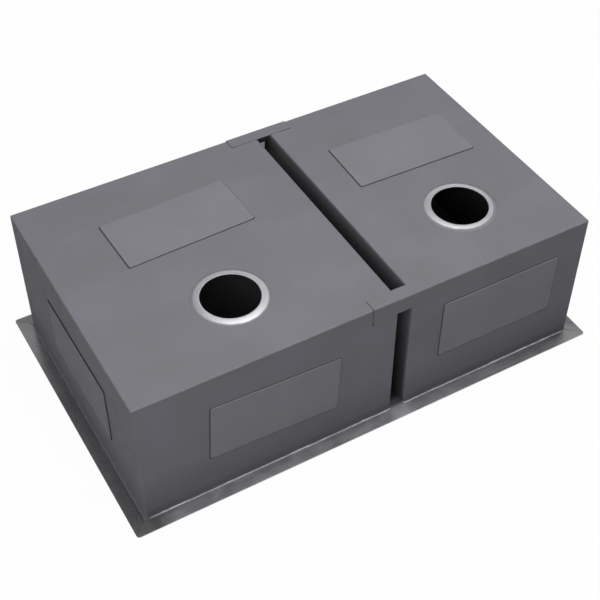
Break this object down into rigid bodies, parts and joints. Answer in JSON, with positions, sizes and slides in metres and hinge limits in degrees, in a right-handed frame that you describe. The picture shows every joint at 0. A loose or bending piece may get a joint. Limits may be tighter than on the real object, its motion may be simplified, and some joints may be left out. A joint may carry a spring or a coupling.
{
  "type": "double bowl kitchen sink",
  "caption": "Undermount kitchen sink folded and welded from stainless sheet, with a large and a small bowl, an open channel between them, domed drain collars, undercoat and sound pads.",
  "frame": {"origin": "middle of the rim's deck face; the sink lies on its rim, upside down, as the picture shows it, and turns half a turn about X for use", "axes": "+X along the length from the large bowl to the small one, +Y to the side away from the drains, +Z from the rim up to the drain collars"},
  "size_m": [0.8382, 0.5098, 0.254],
  "materials": {
    "brushed_stainless": "brushed",
    "bare_collar": "satin polished",
    "weld_bead": "ground weld with heat tint",
    "undercoat": "satin sprayed coat",
    "coated_steel": "satin sprayed coat",
    "sound_pad": "satin"
  },
  "bodies": {
    "root": {"large_bowl_wrap": "brushed_stainless", "large_bowl_end_wall": "brushed_stainless", "large_bowl_divider_wall": "brushed_stainless", "large_bowl_seam_welds": "weld_bead", "large_bowl_undercoat": "undercoat", "large_drain_collar": "bare_collar", "large_floor_pad": "sound_pad", "large_front_pad": "sound_pad", "large_back_pad": "sound_pad", "large_end_pad": "sound_pad", "small_bowl_wrap": "brushed_stainless", "small_bowl_end_wall": "brushed_stainless", "small_bowl_divider_wall": "brushed_stainless", "small_bowl_seam_welds": "weld_bead", "small_bowl_undercoat": "undercoat", "small_drain_collar": "bare_collar", "small_floor_pad": "sound_pad", "small_front_pad": "sound_pad", "small_back_pad": "sound_pad", "small_end_pad": "sound_pad", "rim_mitre_welds": "weld_bead", "divider_seam_weld": "brushed_stainless", "front_bridge_plate": "coated_steel", "back_bridge_plate": "coated_steel", "channel_gusset": "coated_steel"}
  },
  "joints": []
}
